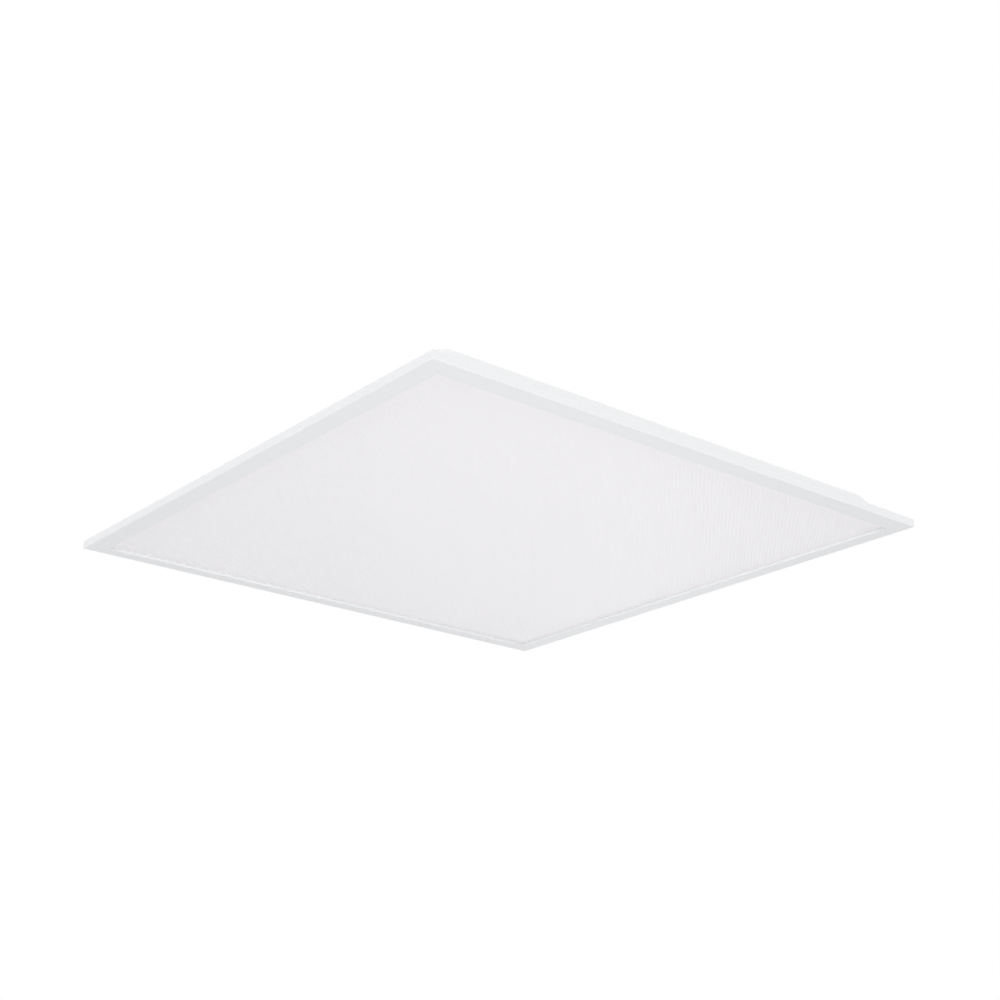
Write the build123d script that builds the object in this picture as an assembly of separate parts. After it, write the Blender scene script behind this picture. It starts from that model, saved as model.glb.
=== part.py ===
from build123d import *
import math
import os

# Square lay-in LED panel for a 600 mm ceiling grid, light shining down along -Z.
# Origin: middle of the square, on the plane of the bezel's lowest edge. Millimetres.
# Front is -Y, right is +X. The driver box lies on the pan's back, near the right edge.

# Frame rail, an aluminium extrusion
panel_side = 595.0
frame_height = 8.0
frame_wall = 1.4
frame_edge_radius = 0.4
bezel_width = 19.0
bezel_fall = 1.2
bezel_land = 2.0
bezel_web = 1.4
lip_height = 2.9
lip_wall = 1.4
seat_rib = 2.5
shelf = 0.9
flange_reach = 9.0
top_flange = 1.1

# Sheets in the rail's slot
prism_plate_thickness = 1.5
opal_sheet_thickness = 0.4
slot_clearance = 0.1
plate_edge_gap = 0.8

# Corner keys and their countersunk screws
key_leg = 32.0
key_clearance = 0.1
corner_screw_offset = 20.0
corner_screw_head_radius = 2.3
corner_screw_radius = 1.25
screw_clearance = 0.05
screw_head_side = 0.4
screw_crown_bow = (0.7, 0.6)

# Back pan, drawn sheet steel
pan_sheet = 0.6
pan_depth = 24.5
pan_flange_inset = 1.0
pan_flange_chamfer = 28.0
pan_foot_inset = 10.0
pan_top_inset = 32.0
pan_corner_radius = 13.0
pan_bend_radius = 1.6
rib_width = 16.0
rib_height = 2.0
rib_end_inset = 30.0
rib_driver_gap = 14.0
pan_screw_end_inset = 107.5
pan_screw_head_radius = 2.8
pan_screw_head_height = 1.8
pan_screw_radius = 1.4
pan_screw_length = 3.2

# Suspension nuts, M4 rivet nuts
suspension_inset = 47.5
nut_thread_radius = 2.0
nut_body_radius = 3.0
nut_flange_radius = 4.6
nut_flange = 0.9
nut_bulge_radius = 4.0
nut_bulge = 2.0
nut_length = 9.0

# LED strips, lenses and reflector
strip_count = 5
strip_side_inset = 65.5
strip_end_inset = 15.5
strip_width = 16.0
strip_thickness = 1.0
strip_corner_radius = 2.0
lens_count = 5
lens_end_inset = 60.0
chip_side = 3.0
chip_height = 0.7
lens_radius = 7.0
lens_height = 5.0
lens_rim = 1.2
lens_shoulder_radius = 4.8
lens_shoulder = 3.9
lens_crown_radius = 1.6
lens_dimple = 0.8
lens_pocket_radius = 2.6
lens_pocket = 1.2
lens_hole_gap = 0.6
reflector_thickness = 0.5
reflector_margin = 14.0
rivet_radius = 1.5
rivet_head_radius = 3.6
rivet_head = 1.2
rivet_tip_radius = 2.3
rivet_tip = 1.4
rivet_clearance = 0.1
connector_length = 9.0
connector_width = 8.0
connector_height = 6.0
connector_margin = 1.0
connector_corner_radius = 0.8

# Leads and the grommet that takes them through the pan
lead_radius = 0.6
lead_gap = 0.4
lead_bend_radius = 3.0
feed_hole_radius = 6.0
feed_bore_radius = 4.8
feed_flange_radius = 7.4
feed_flange = 1.4

# Driver box, moulded in plastic
driver_width = 64.0
driver_length = 184.0
driver_height = 25.0
driver_wall = 1.6
driver_corner_radius = 4.0
driver_edge_radius = 0.8
driver_lid_thickness = 1.6
driver_side_gap = 1.5
driver_back_reach = 74.0
terminal_length = 52.0
standoff_height = 4.0
standoff_radius = 2.6
peg_radius = 1.2
peg_rise = 0.8
peg_clearance = 0.1
lid_rim = 1.2
lid_rim_depth = 2.4
lid_rim_clearance = 0.2
vent_count = 7
vent_pitch = 5.0
vent_width = 2.0
vent_length = 34.0
lid_boss_radius = 3.2
lid_boss_bite = 0.8
lid_screw_radius = 1.2
lid_screw_hole_depth = 9.0
lid_screw_length = 8.0
lid_screw_head_radius = 2.4
lid_screw_head_height = 1.5
ear_length = 11.0
ear_width = 13.0
ear_thickness = 2.2
ear_spread = 40.0
driver_screw_radius = 1.5
driver_screw_head_radius = 3.0
driver_screw_head_height = 2.0
driver_screw_tip_gap = 0.3

# Terminal compartment: cover, block, buttons and cable inlet
barrel_radius = 2.0
trunnion_radius = 1.0
trunnion_end_gap = 0.2
hinge_ear_radius = 2.5
hinge_clearance = 0.05
hinge_side_gap = 0.3
cover_swing_gap = 3.3
cover_ear_gap = 0.4
thumb_tab_width = 18.0
thumb_tab_reach = 4.0
terminal_width = 24.0
terminal_depth = 18.0
terminal_height = 15.0
terminal_offset = -10.0
terminal_back_gap = 7.0
terminal_chamfer = 1.0
pole_pitch = 10.0
pole_entry_radius = 1.7
pole_entry_depth = 11.0
pole_entry_height = 5.0
button_width = 5.0
button_depth = 7.0
button_rise = 2.5
button_travel = 1.5
button_flange = 1.0
button_flange_step = 0.6
button_window = 1.2
button_clearance = 0.2
button_edge_radius = 0.6
inlet_width = 13.0
inlet_flange_width = 17.0
inlet_sill = 4.2
inlet_flange = 2.2
inlet_flange_radius = 3.0
inlet_bore_radius = 4.0
inlet_clearance = 0.05

# Driver board and what stands on it
board_thickness = 1.6
board_edge_gap = 2.0
board_feed_gap = 10.0
board_boss_gap = 1.5
transformer_width = 19.0
transformer_depth = 8.0
transformer_height = 13.5
transformer_leg = 3.0
choke_width = 13.0
choke_depth = 6.0
choke_height = 11.0
choke_leg = 2.0
coil_overhang = 3.0
coil_clearance = 0.1
coil_corner_radius = 2.0
bulk_capacitor_radius = 6.0
bulk_capacitor_height = 14.0
capacitor_edge_radius = 0.8
film_capacitor_length = 13.0
film_capacitor_width = 6.0
film_capacitor_height = 11.0
heat_sink_length = 26.0
heat_sink_width = 9.0
heat_sink_height = 13.0
heat_sink_base = 2.2
heat_sink_fin = 1.4
heat_sink_fins = 3
board_plug_length = 9.0
board_plug_height = 6.0
part_gap = 3.0

# Levels and places that follow from the sizes above
half = panel_side / 2
rim_bottom = bezel_fall
rim_top = rim_bottom + frame_height
plate_top = lip_height + prism_plate_thickness
sheet_top = plate_top + opal_sheet_thickness
shelf_bottom = sheet_top + slot_clearance
shelf_top = shelf_bottom + shelf
channel_top = rim_top - top_flange
flange_middle = (frame_wall + flange_reach) / 2

pan_flange_top = rim_top + pan_sheet
pan_back = rim_top + pan_depth
pan_inside = pan_back - pan_sheet
pan_foot_half = half - pan_foot_inset
pan_top_half = half - pan_top_inset

strip_face = pan_inside - strip_thickness
reflector_face = strip_face - reflector_thickness
strip_half = pan_top_half - strip_end_inset
strip_length = 2 * strip_half
strip_pitch = 2 * (pan_top_half - strip_side_inset) / (strip_count - 1)
lens_pitch = 2 * (strip_half - lens_end_inset) / (lens_count - 1)
strip_rows = [(i - (strip_count - 1) / 2) * strip_pitch for i in range(strip_count)]
lens_places = [(i - (lens_count - 1) / 2) * lens_pitch for i in range(lens_count)]
rivet_places = [(lens_places[0] + lens_places[1]) / 2, (lens_places[-2] + lens_places[-1]) / 2]
connector_x = strip_half - connector_margin - connector_length / 2
reflector_half_x = connector_x - feed_flange_radius - connector_margin
reflector_half_y = strip_rows[-1] + strip_width / 2 + reflector_margin

feed_row = strip_count // 2
feed_x = connector_x
feed_y = (strip_rows[feed_row] + strip_rows[feed_row + 1]) / 2
lead_pitch = 2 * lead_radius + lead_gap

driver_right = feed_x + feed_flange_radius + driver_side_gap + driver_wall
driver_left = driver_right - driver_width
driver_x = (driver_left + driver_right) / 2
driver_back = feed_y + driver_back_reach
driver_front = driver_back - driver_length
driver_y = (driver_front + driver_back) / 2
driver_floor = pan_back + driver_wall
driver_top = pan_back + driver_height
driver_wall_top = driver_top - driver_lid_thickness
partition_front = driver_front + terminal_length
partition_back = partition_front + driver_wall

hinge_y = partition_front - cover_swing_gap
hinge_z = driver_top - hinge_ear_radius
cover_under = driver_wall_top

lid_boss_front = partition_back + lid_boss_radius - lid_boss_bite
lid_boss_back = driver_back - driver_wall - lid_boss_radius + lid_boss_bite
board_front = lid_boss_front + lid_boss_radius + board_boss_gap
board_rear = lid_boss_back - lid_boss_radius - board_boss_gap
board_left = driver_left + driver_wall + board_edge_gap
board_right = feed_x - board_feed_gap
board_bottom = driver_floor + standoff_height
board_top = board_bottom + board_thickness
board_middle = (board_left + board_right) / 2
peg_places = [
    (x, y)
    for x in (board_left + standoff_radius, board_right - standoff_radius)
    for y in (board_front + standoff_radius, board_rear - standoff_radius)
]

terminal_x = driver_x + terminal_offset
terminal_back = partition_front - terminal_back_gap
terminal_front = terminal_back - terminal_depth
terminal_top = driver_floor + terminal_height
terminal_poles = [terminal_x - pole_pitch / 2, terminal_x + pole_pitch / 2]
input_lead_z = board_top + board_plug_height / 2
button_y = (terminal_front + terminal_back) / 2
inlet_bottom = driver_floor + inlet_sill
inlet_z = (inlet_bottom + driver_wall_top) / 2

choke_reach = choke_depth / 2 + coil_overhang
heat_sink_front = feed_y + transformer_depth / 2 + coil_overhang + part_gap
transformer_size = (transformer_width, transformer_depth, transformer_height, transformer_leg)
choke_size = (choke_width, choke_depth, choke_height, choke_leg)

pan_screw_reach = half - pan_screw_end_inset
pan_screw_places = [-pan_screw_reach, 0.0, pan_screw_reach]
suspension_half = half - suspension_inset
suspension_ends = (-suspension_half, suspension_half)
suspension_places = [(x, y) for x in suspension_ends for y in suspension_ends]
ear_places = [(driver_x - ear_spread / 2, driver_x + ear_spread / 2), (driver_front, driver_back)]


def block(x_span, y_span, z_span):
    """A box from its low and high limits along each axis."""
    spans = (x_span, y_span, z_span)
    middle = [(low + high) / 2 for low, high in spans]
    return Pos(*middle) * Box(*[high - low for low, high in spans])


def patch(x_span, y_span):
    """A flat rectangle from its low and high limits."""
    (left, right), (front, back) = x_span, y_span
    return Pos((left + right) / 2, (front + back) / 2) * Rectangle(right - left, back - front)


def bar(x, y, z_low, z_high, radius):
    """An upright round bar."""
    return Pos(x, y, (z_low + z_high) / 2) * Cylinder(radius, z_high - z_low)


def turned(*points):
    """A body of revolution about Z from an outline in radius and height."""
    outline = make_face(Plane.XZ * Polyline(*points, close=True))
    return revolve(outline, Axis.Z)


def quarter_turns(solid, turn):
    """The same solid on another side of the square, in quarter turns."""
    return Rot(0, 0, 90 * turn) * solid


def group(solids):
    """Separate solids that share one node."""
    return Compound(list(solids))


def domed_screw(head_radius, head_height, radius, length):
    """A screw with its domed head on z = 0 and its shank pointing down."""
    side = screw_head_side * head_height
    bow_out, bow_up = screw_crown_bow
    bow = (bow_out * head_radius, side + bow_up * (head_height - side))
    crown = ThreePointArc((0, head_height), bow, (head_radius, side))
    rest = Polyline(
        (head_radius, side), (head_radius, 0), (radius, 0), (radius, -length), (0, -length), (0, head_height)
    )
    return revolve(Plane.XZ * make_face(crown + rest), Axis.Z)


def corner_screw(clearance):
    """A countersunk corner screw with its head flush at z = 0, or the hole for it."""
    head = corner_screw_head_radius + clearance
    shank = corner_screw_radius + clearance
    depth = corner_screw_head_radius - corner_screw_radius
    tip = rim_top - shelf_top - slot_clearance + clearance
    return turned((0, 0), (head, 0), (shank, -depth), (shank, -tip), (0, -tip))


def corner_screw_places():
    """Plan places of the two corner screws at the front right corner."""
    near = half - flange_middle
    far = half - corner_screw_offset
    return [(far, -near), (near, -far)]


def rail_profile():
    """The extrusion's section: inward distance along X, height along Y."""
    slope = bezel_fall / (bezel_width - bezel_land)
    web_inner = bezel_width - lip_wall
    web_outer = frame_wall + seat_rib
    outline = Polyline(
        (0, rim_bottom),
        (bezel_width - bezel_land, 0),
        (bezel_width, 0),
        (bezel_width, lip_height),
        (web_inner, lip_height),
        (web_inner, bezel_web),
        (bezel_width - bezel_land, bezel_web),
        (web_outer, rim_bottom - slope * web_outer + bezel_web),
        (web_outer, lip_height),
        (frame_wall, lip_height),
        (frame_wall, shelf_bottom),
        (flange_reach, shelf_bottom),
        (flange_reach, shelf_top),
        (frame_wall, shelf_top),
        (frame_wall, channel_top),
        (flange_reach, channel_top),
        (flange_reach, rim_top),
        (0, rim_top),
        close=True,
    )
    section = make_face(outline)
    edges = section.vertices().group_by(Axis.X)
    return fillet(edges[0] + edges[-1], frame_edge_radius)


def front_rail():
    """The front rail, mitred at both ends, with its screw holes."""
    section = Pos(0, -half, 0) * (Plane.YZ * rail_profile())
    rail = extrude(section, half, both=True)
    mitre = Polygon(
        (-half, -half),
        (half, -half),
        (half - bezel_width, bezel_width - half),
        (bezel_width - half, bezel_width - half),
        align=None,
    )
    rail &= extrude(mitre, rim_top)
    (right_x, right_y), _ = corner_screw_places()
    for x in (-right_x, right_x):
        rail -= Pos(x, right_y, rim_top) * corner_screw(screw_clearance)
    for x in pan_screw_places:
        rail -= bar(x, flange_middle - half, shelf_top, rim_top, pan_screw_radius + screw_clearance)
    return rail


def corner_key():
    """The angle that joins front and right rail, with holes for its two screws."""
    outer = half - frame_wall - key_clearance
    inner = half - flange_reach
    end = outer - key_leg
    plan = Polygon(
        (outer, -outer),
        (outer, -end),
        (inner, -end),
        (inner, -inner),
        (end, -inner),
        (end, -outer),
        align=None,
    )
    key = Pos(0, 0, shelf_top) * extrude(plan, channel_top - shelf_top - key_clearance)
    for x, y in corner_screw_places():
        key -= Pos(x, y, rim_top) * corner_screw(screw_clearance)
    return key


def slot_sheet(z_low, z_high):
    """A square sheet that fills the rails' slot."""
    side = panel_side - 2 * (frame_wall + plate_edge_gap)
    return Pos(0, 0, z_low) * extrude(Rectangle(side, side), z_high - z_low)


def pan_frustum(foot_half, top_half, z_foot, z_top, top_radius, bend):
    """The pan's drawn form: sloping walls, conical corners and a rounded bend round its back."""
    foot_radius = top_radius + foot_half - top_half
    foot = Pos(0, 0, z_foot) * RectangleRounded(2 * foot_half, 2 * foot_half, foot_radius)
    top = Pos(0, 0, z_top) * RectangleRounded(2 * top_half, 2 * top_half, top_radius)
    drawn = loft([foot, top], ruled=True)
    return fillet(drawn.faces().sort_by(Axis.Z)[-1].edges(), bend)


def rib_bead(width, z_low):
    """The pressed ribs between the strips, as solid beads that stand on z_low."""
    left = rib_end_inset - pan_top_half
    right = driver_left - rib_driver_gap
    plan = SlotOverall(right - left, width)
    bead = extrude(plan, rib_height, taper=45)
    rows = [(low + high) / 2 for low, high in zip(strip_rows, strip_rows[1:])]
    return [Pos((left + right) / 2, y, z_low) * bead for y in rows]


def back_pan():
    """Flange, sloping walls and ribbed back in one drawn sheet, with all its holes."""
    run = pan_top_inset - pan_foot_inset
    rise = pan_back - pan_flange_top
    run_per_rise = run / rise
    sideways = pan_sheet * math.hypot(run, rise) / rise - pan_sheet * run_per_rise
    flange_side = panel_side - 2 * pan_flange_inset
    flange = extrude(Rectangle(flange_side, flange_side), pan_sheet)
    flange = chamfer(flange.edges().filter_by(Axis.Z), pan_flange_chamfer)
    outer_bend = pan_bend_radius + pan_sheet
    pan = Pos(0, 0, rim_top) * flange
    pan += pan_frustum(pan_foot_half, pan_top_half, pan_flange_top, pan_back, pan_corner_radius, outer_bend)
    pan += rib_bead(rib_width, pan_back)
    pan -= pan_frustum(
        pan_foot_half - sideways,
        pan_top_half - sideways,
        rim_top,
        pan_inside,
        pan_corner_radius - sideways,
        pan_bend_radius,
    )
    pan -= rib_bead(rib_width - 2 * pan_sheet * (math.sqrt(2) - 1), pan_inside)
    for turn in range(4):
        for x in pan_screw_places:
            hole = bar(x, flange_middle - half, rim_top, pan_flange_top, pan_screw_radius + screw_clearance)
            pan -= quarter_turns(hole, turn)
    for x, y in suspension_places:
        pan -= bar(x, y, pan_inside, pan_back, nut_body_radius)
    for x, y in rivet_centres():
        pan -= bar(x, y, pan_inside, pan_back, rivet_radius + rivet_clearance)
    for x, y in driver_screw_centres():
        pan -= bar(x, y, pan_inside, pan_back, driver_screw_radius + screw_clearance)
    pan -= bar(feed_x, feed_y, pan_inside, pan_back, feed_hole_radius)
    return pan


def pan_screws():
    """Twelve domed screws down through the pan's flange into the rails."""
    screw = domed_screw(pan_screw_head_radius, pan_screw_head_height, pan_screw_radius, pan_screw_length)
    side = [Pos(x, flange_middle - half, pan_flange_top) * screw for x in pan_screw_places]
    return group(quarter_turns(one, turn) for turn in range(4) for one in side)


def suspension_nuts():
    """Four rivet nuts, flange on the pan's back and bulge gripping the sheet from below."""
    bulge_low = -pan_sheet - nut_bulge
    nut = turned(
        (nut_thread_radius, nut_flange),
        (nut_flange_radius, nut_flange),
        (nut_flange_radius, 0),
        (nut_body_radius, 0),
        (nut_body_radius, -pan_sheet),
        (nut_bulge_radius, -pan_sheet),
        (nut_body_radius, bulge_low),
        (nut_body_radius, -nut_length),
        (nut_thread_radius, -nut_length),
    )
    return group(Pos(x, y, pan_back) * nut for x, y in suspension_places)


def rivet_centres():
    """Plan places of the push rivets that hold strips and reflector."""
    return [(x, y) for y in strip_rows for x in rivet_places]


def driver_screw_centres():
    """Plan places of the screws through the driver base's ears."""
    columns, (front, back) = ear_places
    return [(x, y) for x in columns for y in (front - ear_length / 2, back + ear_length / 2)]


def led_strip(row):
    """One strip's circuit board under the pan's back."""
    plan = RectangleRounded(strip_length, strip_width, strip_corner_radius)
    strip = Pos(0, strip_rows[row], strip_face) * extrude(plan, strip_thickness)
    for x in rivet_places:
        strip -= bar(x, strip_rows[row], strip_face, pan_inside, rivet_radius + rivet_clearance)
    return strip


def led_chips(row):
    """The LED packages soldered to one strip."""
    chip = Pos(0, 0, -chip_height / 2) * Box(chip_side, chip_side, chip_height)
    return group(Pos(x, strip_rows[row], strip_face) * chip for x in lens_places)


def led_lenses(row):
    """The spreading lenses glued over one strip's chips."""
    rim = (lens_radius, -lens_rim)
    crown = (lens_crown_radius, -lens_height)
    dome = ThreePointArc(rim, (lens_shoulder_radius, -lens_shoulder), crown)
    rest = Polyline(
        crown,
        (0, lens_dimple - lens_height),
        (0, -lens_pocket),
        (lens_pocket_radius, -lens_pocket),
        (lens_pocket_radius, 0),
        (lens_radius, 0),
        rim,
    )
    lens = revolve(Plane.XZ * make_face(dome + rest), Axis.Z)
    return group(Pos(x, strip_rows[row], strip_face) * lens for x in lens_places)


def reflector_sheet():
    """White film over the strips, holed for the lenses and rivets."""
    plan = RectangleRounded(2 * reflector_half_x, 2 * reflector_half_y, reflector_margin)
    lens_hole = Circle(lens_radius + lens_hole_gap)
    rivet_hole = Circle(rivet_radius + rivet_clearance)
    plan -= [Pos(x, y) * lens_hole for x in lens_places for y in strip_rows]
    plan -= [Pos(x, y) * rivet_hole for x, y in rivet_centres()]
    return Pos(0, 0, reflector_face) * extrude(plan, reflector_thickness)


def strip_rivets():
    """Nylon push rivets from the reflector's face to the pan's back."""
    grip = reflector_thickness + strip_thickness + pan_sheet
    rivet = turned(
        (0, -rivet_head),
        (rivet_head_radius - rivet_head / 2, -rivet_head),
        (rivet_head_radius, 0),
        (rivet_radius, 0),
        (rivet_radius, grip),
        (rivet_tip_radius, grip),
        (rivet_radius, grip + rivet_tip),
        (0, grip + rivet_tip),
    )
    return group(Pos(x, y, reflector_face) * rivet for x, y in rivet_centres())


def strip_connectors():
    """A small two-way connector at the right end of each strip."""
    plan = RectangleRounded(connector_length, connector_width, connector_corner_radius)
    body = extrude(plan, -connector_height)
    return group(Pos(connector_x, y, strip_face) * body for y in strip_rows)


def lead_levels():
    """Heights of a pair of leads where it meets a strip connector."""
    upper = pan_inside - feed_flange - lead_bend_radius
    return [upper, upper - lead_pitch]


def jumper_leads():
    """Straight pairs of leads from connector to connector, left out where the feed comes in."""
    leads = []
    for row in range(strip_count - 1):
        if row == feed_row:
            continue
        start = strip_rows[row] + connector_width / 2
        end = strip_rows[row + 1] - connector_width / 2
        for z in lead_levels():
            lead = Rot(90, 0, 0) * Cylinder(lead_radius, end - start)
            leads.append(Pos(connector_x, (start + end) / 2, z) * lead)
    return group(leads)


def feed_leads():
    """Two pairs of leads from the driver's output plug, down through the grommet, to two strips."""
    plug_z = board_top + board_plug_height / 2
    leads = []
    for side, row in ((-1, feed_row), (1, feed_row + 1)):
        end_y = strip_rows[row] - side * connector_width / 2
        for place, z in zip((1.5, 0.5), lead_levels()):
            y = feed_y + side * place * lead_pitch
            route = [(board_right, y, plug_z), (feed_x, y, plug_z), (feed_x, y, z), (feed_x, end_y, z)]
            path = FilletPolyline(*route, radius=lead_bend_radius)
            section = Plane(origin=path @ 0, z_dir=path % 0) * Circle(lead_radius)
            leads.append(sweep(section, path=path))
    return group(leads)


def feed_grommet():
    """Rubber grommet in the pan and the driver base's floor."""
    z_low = pan_inside - feed_flange
    z_high = driver_floor + feed_flange
    ring = bar(feed_x, feed_y, z_low, z_high, feed_hole_radius)
    ring += bar(feed_x, feed_y, z_low, pan_inside, feed_flange_radius)
    ring += bar(feed_x, feed_y, driver_floor, z_high, feed_flange_radius)
    return ring - bar(feed_x, feed_y, z_low, z_high, feed_bore_radius)


def driver_plan(shrink):
    """The driver box's rounded plan, drawn in by the given amount."""
    plan = RectangleRounded(
        driver_width - 2 * shrink, driver_length - 2 * shrink, driver_corner_radius - shrink
    )
    return Pos(driver_x, driver_y) * plan


def driver_base():
    """The moulded tray: floor, walls, partition, ears, bosses, standoffs and hinge ears."""
    wall_height = driver_wall_top - pan_back
    base = Pos(0, 0, pan_back) * extrude(driver_plan(0), wall_height)
    base -= Pos(0, 0, driver_floor) * extrude(driver_plan(driver_wall), wall_height)
    inside = (driver_left + driver_wall, driver_right - driver_wall)
    base += block(inside, (partition_front, partition_back), (driver_floor, driver_wall_top))
    for y in (lid_boss_front, lid_boss_back):
        base += bar(driver_x, y, driver_floor, driver_wall_top, lid_boss_radius)
        base -= bar(driver_x, y, driver_wall_top - lid_screw_hole_depth, driver_wall_top, lid_screw_radius)
    for x, y in peg_places:
        base += bar(x, y, driver_floor, board_bottom, standoff_radius)
        base += bar(x, y, board_bottom, board_top + peg_rise, peg_radius)
    ear_top = pan_back + ear_thickness
    for x, y in driver_screw_centres():
        reach = (ear_length + driver_wall) / 2
        foot = y + reach if y < driver_y else y - reach
        ear_x = (x - ear_width / 2, x + ear_width / 2)
        base += block(ear_x, sorted((y, foot)), (pan_back, ear_top))
        base += bar(x, y, pan_back, ear_top, ear_width / 2)
        base -= bar(x, y, pan_back, ear_top, driver_screw_radius + screw_clearance)
    for x in (driver_left + driver_wall / 2, driver_right - driver_wall / 2):
        ear = Rot(0, 90, 0) * Cylinder(hinge_ear_radius, driver_wall)
        hole = Rot(0, 90, 0) * Cylinder(trunnion_radius + hinge_clearance, driver_wall)
        base += Pos(x, hinge_y, hinge_z) * ear
        base -= Pos(x, hinge_y, hinge_z) * hole
    inlet = (driver_x - inlet_width / 2, driver_x + inlet_width / 2)
    base -= block(inlet, (driver_front, driver_front + driver_wall), (inlet_bottom, driver_wall_top))
    for x in terminal_poles:
        hole = Rot(90, 0, 0) * Cylinder(lead_radius + lead_gap, driver_wall)
        base -= Pos(x, (partition_front + partition_back) / 2, input_lead_z) * hole
    base -= bar(feed_x, feed_y, pan_back, driver_floor, feed_hole_radius)
    return base


def round_top(plate):
    """The same plate with the outline of its top face rounded over."""
    top = plate.faces().sort_by(Axis.Z)[-1]
    return fillet(top.outer_wire().edges(), driver_edge_radius)


def driver_lid():
    """The lid over the driver's compartment, with a locating rim and a row of vents."""
    beyond = driver_back + driver_corner_radius
    keep = block((driver_left, driver_right), (partition_front, beyond), (pan_back, driver_top))
    lid = Pos(0, 0, driver_wall_top) * extrude(driver_plan(0), driver_lid_thickness)
    rim_outside = driver_wall + lid_rim_clearance
    rim = extrude(driver_plan(rim_outside) - driver_plan(rim_outside + lid_rim), lid_rim_depth)
    rim_start = partition_back + lid_rim_clearance
    rim_keep = block((driver_left, driver_right), (rim_start, beyond), (pan_back, driver_top))
    lid = round_top(lid & keep) + ((Pos(0, 0, driver_wall_top - lid_rim_depth) * rim) & rim_keep)
    slot = extrude(SlotOverall(vent_length, vent_width), driver_lid_thickness)
    vent_middle = (board_front + board_rear) / 2
    for i in range(vent_count):
        y = vent_middle + (i - (vent_count - 1) / 2) * vent_pitch
        lid -= Pos(driver_x, y, driver_wall_top) * slot
    for y in (lid_boss_front, lid_boss_back):
        lid -= bar(driver_x, y, driver_wall_top, driver_top, lid_screw_radius + screw_clearance)
        clear = lid_boss_radius + lid_rim_clearance
        lid -= bar(driver_x, y, driver_wall_top - lid_rim_depth, driver_wall_top, clear)
    return lid


def terminal_cover():
    """The hinged cover: plate, hinge barrel with two trunnions, and a thumb tab."""
    wide_back = hinge_y - hinge_ear_radius - cover_ear_gap
    inside = driver_wall + hinge_side_gap
    narrow = (driver_left + inside, driver_right - inside)
    tab = RectangleRounded(thumb_tab_width, 2 * thumb_tab_reach, thumb_tab_reach / 2)
    plan = driver_plan(0) & patch((driver_left, driver_right), (driver_front, wide_back))
    plan += [patch(narrow, (wide_back, hinge_y)), Pos(driver_x, driver_front) * tab]
    cover = round_top(Pos(0, 0, cover_under) * extrude(plan, driver_lid_thickness))
    cover += Pos(driver_x, hinge_y, hinge_z) * Rot(0, 90, 0) * Cylinder(barrel_radius, narrow[1] - narrow[0])
    pins = driver_width - 2 * trunnion_end_gap
    cover += Pos(driver_x, hinge_y, hinge_z) * Rot(0, 90, 0) * Cylinder(trunnion_radius, pins)
    return cover


def terminal_block():
    """Two-pole push-in terminal with wire entries, button wells and lead exits."""
    x_span = (terminal_x - terminal_width / 2, terminal_x + terminal_width / 2)
    body = block(x_span, (terminal_front, terminal_back), (driver_floor, terminal_top))
    body = chamfer(body.edges().filter_by(Axis.X).group_by(Axis.Z)[-1], terminal_chamfer)
    entry_z = driver_floor + pole_entry_height
    well_depth = button_window + button_flange + button_travel + button_clearance
    for x in terminal_poles:
        entry = Rot(90, 0, 0) * Cylinder(pole_entry_radius, pole_entry_depth)
        body -= Pos(x, terminal_front + pole_entry_depth / 2, entry_z) * entry
        body -= button_prism(x, button_clearance, terminal_top - well_depth, terminal_top)
        wide = button_clearance + button_flange_step
        body -= button_prism(x, wide, terminal_top - well_depth, terminal_top - button_window)
    return body


def button_prism(x, grow, z_low, z_high):
    """An upright prism on a button's plan, grown all round."""
    half_width = button_width / 2 + grow
    half_depth = button_depth / 2 + grow
    x_span = (x - half_width, x + half_width)
    y_span = (button_y - half_depth, button_y + half_depth)
    return block(x_span, y_span, (z_low, z_high))


def release_button(pole):
    """A push button that frees the wire, held in its well by a flange."""
    x = terminal_poles[pole]
    flange_top = terminal_top - button_window - slot_clearance
    flange_low = flange_top - button_flange
    button = button_prism(x, 0, flange_low, terminal_top + button_rise)
    button = fillet(button.faces().sort_by(Axis.Z)[-1].edges(), button_edge_radius)
    return button + button_prism(x, button_flange_step, flange_low, flange_top)


def mains_grommet():
    """Rubber inlet that slides down into the notch in the end wall, with the cable's bore."""
    wall = (driver_front, driver_front + driver_wall)
    body_half = inlet_width / 2 - inlet_clearance
    flange_half = inlet_flange_width / 2
    body_z = (inlet_bottom + inlet_clearance, driver_wall_top - inlet_clearance)
    flange_low = inlet_bottom - (inlet_flange_width - inlet_width) / 2
    flange_y = (driver_front - inlet_flange, driver_front - inlet_clearance)
    inner_y = (wall[1] + inlet_clearance, wall[1] + inlet_flange)
    grommet = block((driver_x - body_half, driver_x + body_half), (flange_y[0], inner_y[1]), body_z)
    for y_span in (flange_y, inner_y):
        flange = block((driver_x - flange_half, driver_x + flange_half), y_span, (flange_low, body_z[1]))
        grommet += fillet(flange.edges().filter_by(Axis.Y).group_by(Axis.Z)[0], inlet_flange_radius)
    bore = Rot(90, 0, 0) * Cylinder(inlet_bore_radius, inner_y[1] - flange_y[0])
    return grommet - Pos(driver_x, (flange_y[0] + inner_y[1]) / 2, inlet_z) * bore


def input_leads():
    """Line and neutral from the terminal block through the partition to the board's plug."""
    length = board_front - terminal_back
    lead = Rot(90, 0, 0) * Cylinder(lead_radius, length)
    return group(Pos(x, terminal_back + length / 2, input_lead_z) * lead for x in terminal_poles)


def driver_board():
    """The driver's circuit board on its four pegs."""
    board = block((board_left, board_right), (board_front, board_rear), (board_bottom, board_top))
    for x, y in peg_places:
        board -= bar(x, y, board_bottom, board_top, peg_radius + peg_clearance)
    return board


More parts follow.
